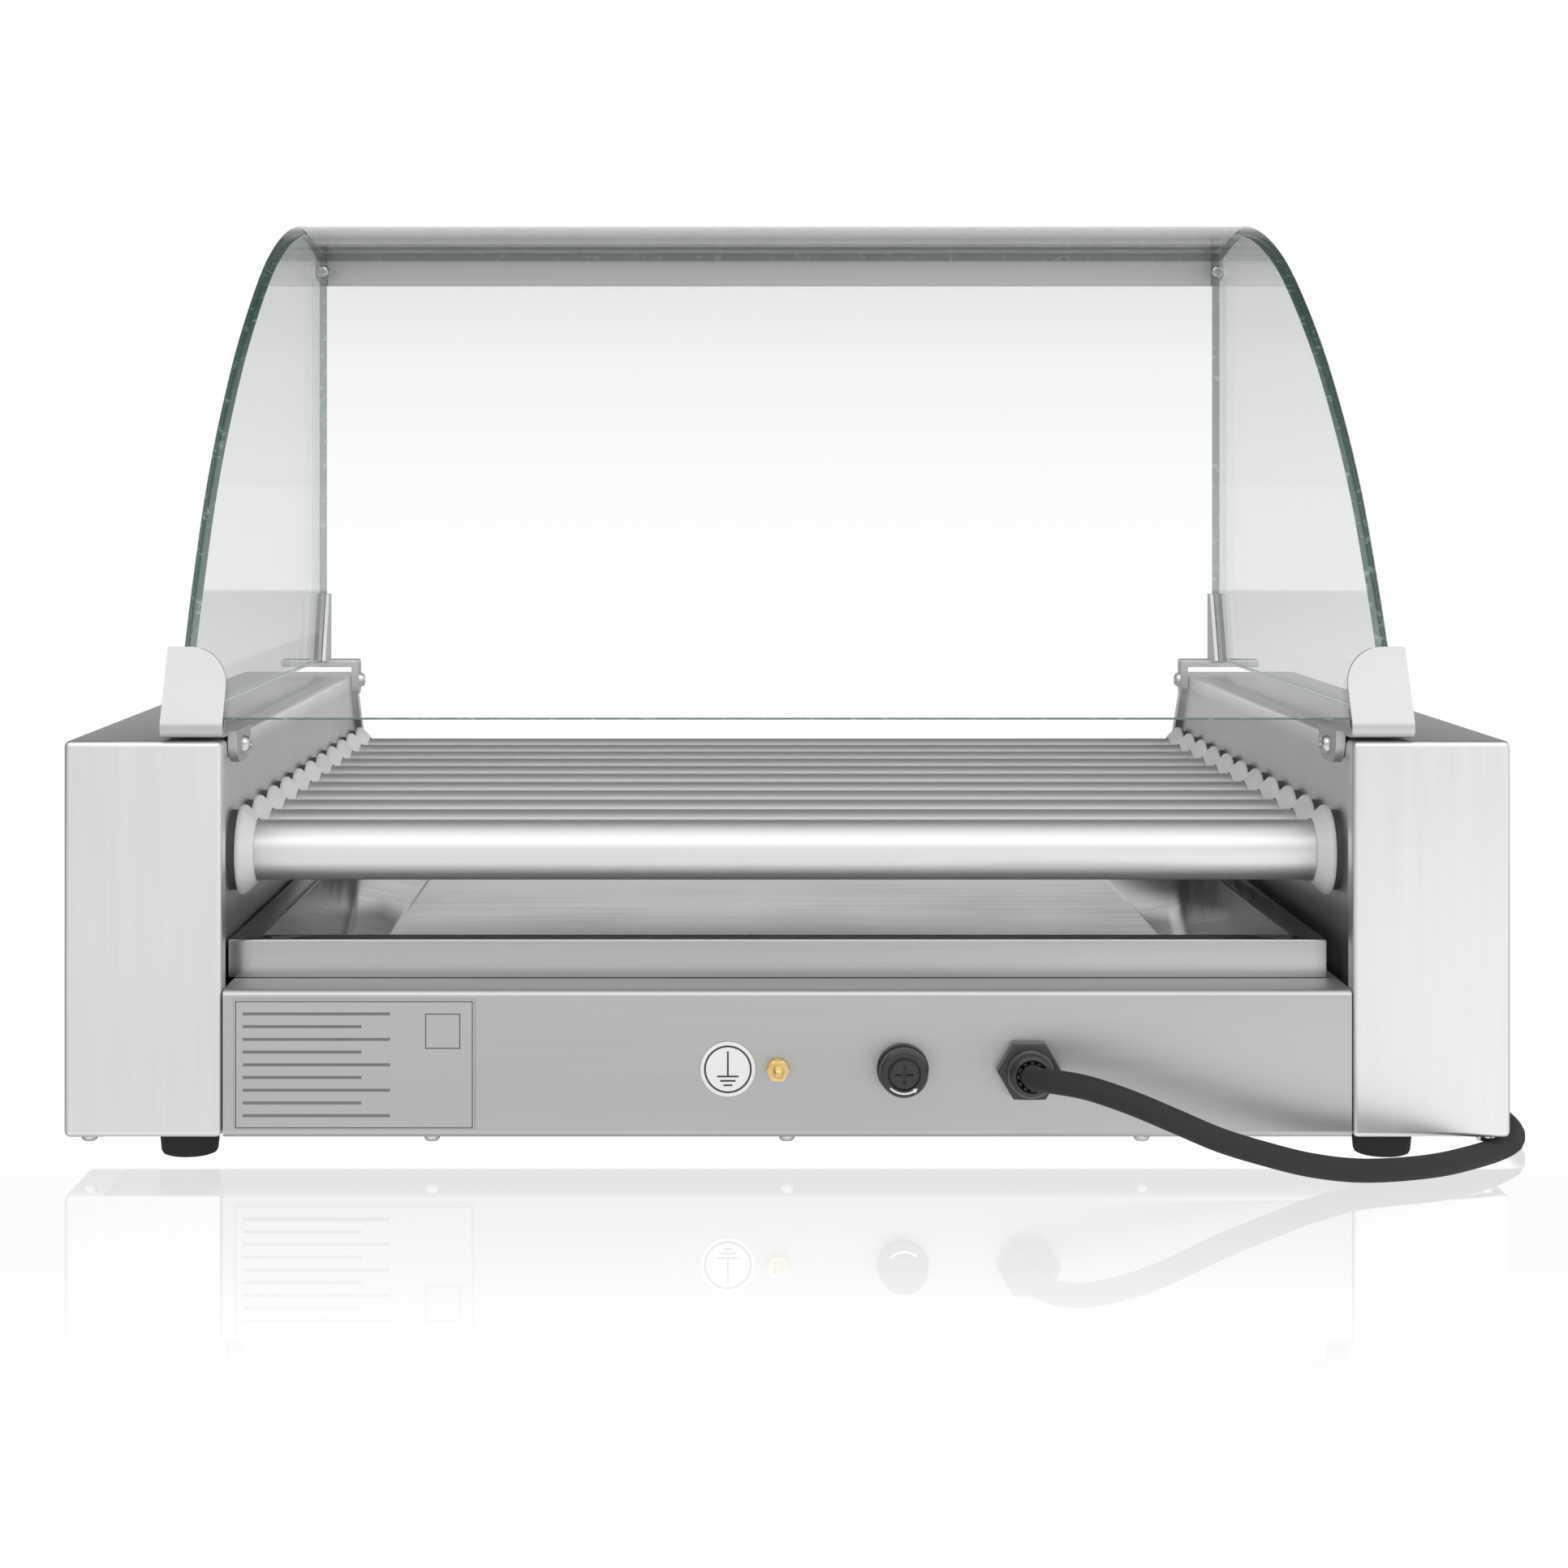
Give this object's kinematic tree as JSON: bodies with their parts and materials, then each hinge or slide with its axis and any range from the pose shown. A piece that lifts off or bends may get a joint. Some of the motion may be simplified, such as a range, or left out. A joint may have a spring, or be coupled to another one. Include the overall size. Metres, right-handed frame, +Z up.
{
  "type": "hot dog roller grill",
  "caption": "Counter roller grill: driven heated rollers over a pull-out drip tray, between two folded steel housings and under a bent glass hood that is open on the operator's side.",
  "frame": {"origin": "on the surface the grill stands on, under the middle of its box without the cord", "axes": "+X along the rollers towards the drive end, +Y from the cord's side towards the operator's side, +Z up"},
  "size_m": [0.7029, 0.5742, 0.4065],
  "materials": {
    "stainless_sheet": "brushed along the length",
    "roller_steel": "fine turned, nearly bright",
    "satin_bracket": "satin",
    "zinc_steel": "zinc plated",
    "clear_glass": "clear, with a green tint at its edges",
    "white_plastic": "smooth moulded",
    "black_plastic": "moulded",
    "foot_rubber": "matte",
    "cord_rubber": "satin sheath",
    "brass": "machined",
    "plate_aluminium": "satin printed plate",
    "white_label": "printed label",
    "red_lens": "clear moulded lens"
  },
  "bodies": {
    "root": {"base_pan": "zinc_steel", "base_cover": "stainless_sheet", "left_side_plate": "stainless_sheet", "right_side_plate": "stainless_sheet", "left_end_cover": "stainless_sheet", "right_end_cover": "stainless_sheet", "foot_near_left": "foot_rubber", "foot_near_right": "foot_rubber", "foot_far_left": "foot_rubber", "foot_far_right": "foot_rubber", "left_bushes": "white_plastic", "right_bushes": "white_plastic", "heater_bank": "zinc_steel", "drive_chain": "zinc_steel", "gear_motor": "zinc_steel", "curved_glass": "clear_glass", "left_side_glass": "clear_glass", "right_side_glass": "clear_glass", "top_rail": "satin_bracket", "near_bracket_left": "satin_bracket", "near_bracket_right": "satin_bracket", "far_bracket_left": "satin_bracket", "far_bracket_right": "satin_bracket", "data_plate": "plate_aluminium", "ground_label": "white_label", "ground_stud": "brass", "fuse_holder": "black_plastic", "cable_gland": "black_plastic", "thermostat_1": "zinc_steel", "thermostat_2": "zinc_steel", "switch_housing_1": "black_plastic", "switch_housing_2": "black_plastic", "pilot_light_1": "red_lens", "pilot_light_2": "red_lens", "power_cord": "cord_rubber", "cord_coil": "cord_rubber", "plug": "cord_rubber"},
    "roller_01": {"roller_01": "roller_steel"},
    "roller_02": {"roller_02": "roller_steel"},
    "roller_03": {"roller_03": "roller_steel"},
    "roller_04": {"roller_04": "roller_steel"},
    "roller_05": {"roller_05": "roller_steel"},
    "roller_06": {"roller_06": "roller_steel"},
    "roller_07": {"roller_07": "roller_steel"},
    "roller_08": {"roller_08": "roller_steel"},
    "roller_09": {"roller_09": "roller_steel"},
    "roller_10": {"roller_10": "roller_steel"},
    "roller_11": {"roller_11": "roller_steel"},
    "drive_sprocket": {"drive_sprocket": "zinc_steel"},
    "drip_tray": {"drip_tray": "stainless_sheet"},
    "knob_1": {"knob_1": "black_plastic"},
    "knob_2": {"knob_2": "black_plastic"},
    "rocker_1": {"rocker_1": "black_plastic"},
    "rocker_2": {"rocker_2": "black_plastic"},
    "fuse_cap": {"fuse_cap": "black_plastic"}
  },
  "joints": [
    {"name": "roller_01_spin", "type": "hinge", "parent": "root", "child": "roller_01", "pos_m": [0, -0.197, 0.121], "axis": [1, 0, 0], "continuous": true},
    {"name": "roller_02_spin", "type": "hinge", "parent": "root", "child": "roller_02", "pos_m": [0, -0.159, 0.121], "axis": [1, 0, 0], "continuous": true},
    {"name": "roller_03_spin", "type": "hinge", "parent": "root", "child": "roller_03", "pos_m": [0, -0.121, 0.121], "axis": [1, 0, 0], "continuous": true},
    {"name": "roller_04_spin", "type": "hinge", "parent": "root", "child": "roller_04", "pos_m": [0, -0.083, 0.121], "axis": [1, 0, 0], "continuous": true},
    {"name": "roller_05_spin", "type": "hinge", "parent": "root", "child": "roller_05", "pos_m": [0, -0.045, 0.121], "axis": [1, 0, 0], "continuous": true},
    {"name": "roller_06_spin", "type": "hinge", "parent": "root", "child": "roller_06", "pos_m": [0, -0.007, 0.121], "axis": [1, 0, 0], "continuous": true},
    {"name": "roller_07_spin", "type": "hinge", "parent": "root", "child": "roller_07", "pos_m": [0, 0.031, 0.121], "axis": [1, 0, 0], "continuous": true},
    {"name": "roller_08_spin", "type": "hinge", "parent": "root", "child": "roller_08", "pos_m": [0, 0.069, 0.121], "axis": [1, 0, 0], "continuous": true},
    {"name": "roller_09_spin", "type": "hinge", "parent": "root", "child": "roller_09", "pos_m": [0, 0.107, 0.121], "axis": [1, 0, 0], "continuous": true},
    {"name": "roller_10_spin", "type": "hinge", "parent": "root", "child": "roller_10", "pos_m": [0, 0.145, 0.121], "axis": [1, 0, 0], "continuous": true},
    {"name": "roller_11_spin", "type": "hinge", "parent": "root", "child": "roller_11", "pos_m": [0, 0.183, 0.121], "axis": [1, 0, 0], "continuous": true},
    {"name": "drive_spin", "type": "hinge", "parent": "root", "child": "drive_sprocket", "pos_m": [0, -0.007, 0.07715], "axis": [1, 0, 0], "continuous": true},
    {"name": "tray_slide", "type": "slide", "parent": "root", "child": "drip_tray", "axis": [0, 1, 0], "range_m": [0, 0.4]},
    {"name": "knob_1_turn", "type": "hinge", "parent": "root", "child": "knob_1", "pos_m": [-0.06, 0.241, 0.041], "axis": [0, -1, 0], "range_deg": [0, 270]},
    {"name": "knob_2_turn", "type": "hinge", "parent": "root", "child": "knob_2", "pos_m": [0.06, 0.241, 0.041], "axis": [0, -1, 0], "range_deg": [0, 270]},
    {"name": "rocker_1_tip", "type": "hinge", "parent": "root", "child": "rocker_1", "pos_m": [-0.13, 0.2393, 0.041], "axis": [1, 0, 0], "range_deg": [0, 16]},
    {"name": "rocker_2_tip", "type": "hinge", "parent": "root", "child": "rocker_2", "pos_m": [0.13, 0.2393, 0.041], "axis": [1, 0, 0], "range_deg": [0, 16]},
    {"name": "fuse_cap_turn", "type": "hinge", "parent": "root", "child": "fuse_cap", "pos_m": [0.0462, -0.245, 0.0392], "axis": [0, -1, 0], "range_deg": [0, 90]}
  ],
  "couplings": [
    {"joint": "roller_02_spin", "follows": "roller_01_spin", "ratio": 1},
    {"joint": "roller_03_spin", "follows": "roller_01_spin", "ratio": 1},
    {"joint": "roller_04_spin", "follows": "roller_01_spin", "ratio": 1},
    {"joint": "roller_05_spin", "follows": "roller_01_spin", "ratio": 1},
    {"joint": "roller_06_spin", "follows": "roller_01_spin", "ratio": 1},
    {"joint": "roller_07_spin", "follows": "roller_01_spin", "ratio": 1},
    {"joint": "roller_08_spin", "follows": "roller_01_spin", "ratio": 1},
    {"joint": "roller_09_spin", "follows": "roller_01_spin", "ratio": 1},
    {"joint": "roller_10_spin", "follows": "roller_01_spin", "ratio": 1},
    {"joint": "roller_11_spin", "follows": "roller_01_spin", "ratio": 1},
    {"joint": "drive_spin", "follows": "roller_01_spin", "ratio": -0.83333}
  ]
}
